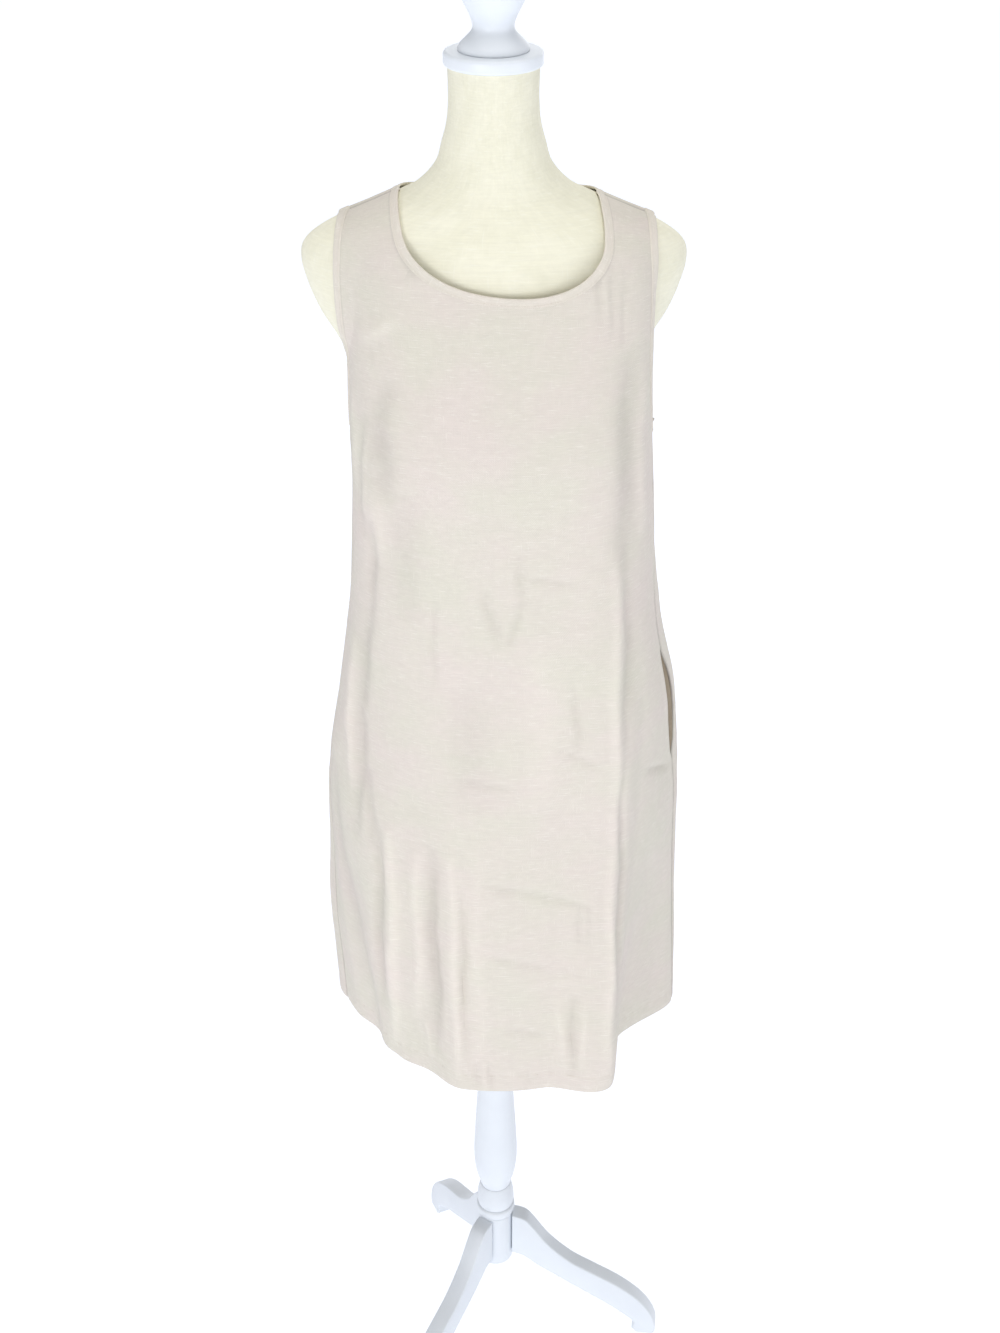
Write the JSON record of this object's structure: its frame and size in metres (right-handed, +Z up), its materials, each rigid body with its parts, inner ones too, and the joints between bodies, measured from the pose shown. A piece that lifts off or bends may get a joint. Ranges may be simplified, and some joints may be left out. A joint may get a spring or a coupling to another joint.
{
  "type": "shift dress on a dress form",
  "caption": "Sleeveless A-line shift dress with a scoop neck and an in-seam pocket, on a limbless dress form with a turned, three-legged stand.",
  "frame": {"origin": "middle of the whole object's box, on the floor", "axes": "+Z up, -Y the dress's front, +X the side with the pocket"},
  "size_m": [0.4153, 0.3957, 1.801],
  "materials": {
    "linen": "plain-woven linen blend, slubby, matte",
    "linen_binding": "turned strip of the same cloth",
    "pocket_cloth": "light plain-woven pocketing",
    "form_cover": "cream cover stretched over the form",
    "white_paint": "satin white paint on wood"
  },
  "bodies": {
    "root": {"dress_front": "linen", "dress_back": "linen", "neck_binding": "linen_binding", "armhole_binding_pocket_side": "linen_binding", "armhole_binding_plain_side": "linen_binding", "pocket_bag_outer": "pocket_cloth", "pocket_bag_inner": "pocket_cloth", "dress_form": "form_cover", "neck_disc": "white_paint", "finial": "white_paint", "post": "white_paint", "post_ring": "white_paint", "leg_hub": "white_paint", "leg_side": "white_paint", "leg_back": "white_paint", "leg_front": "white_paint"}
  },
  "joints": []
}
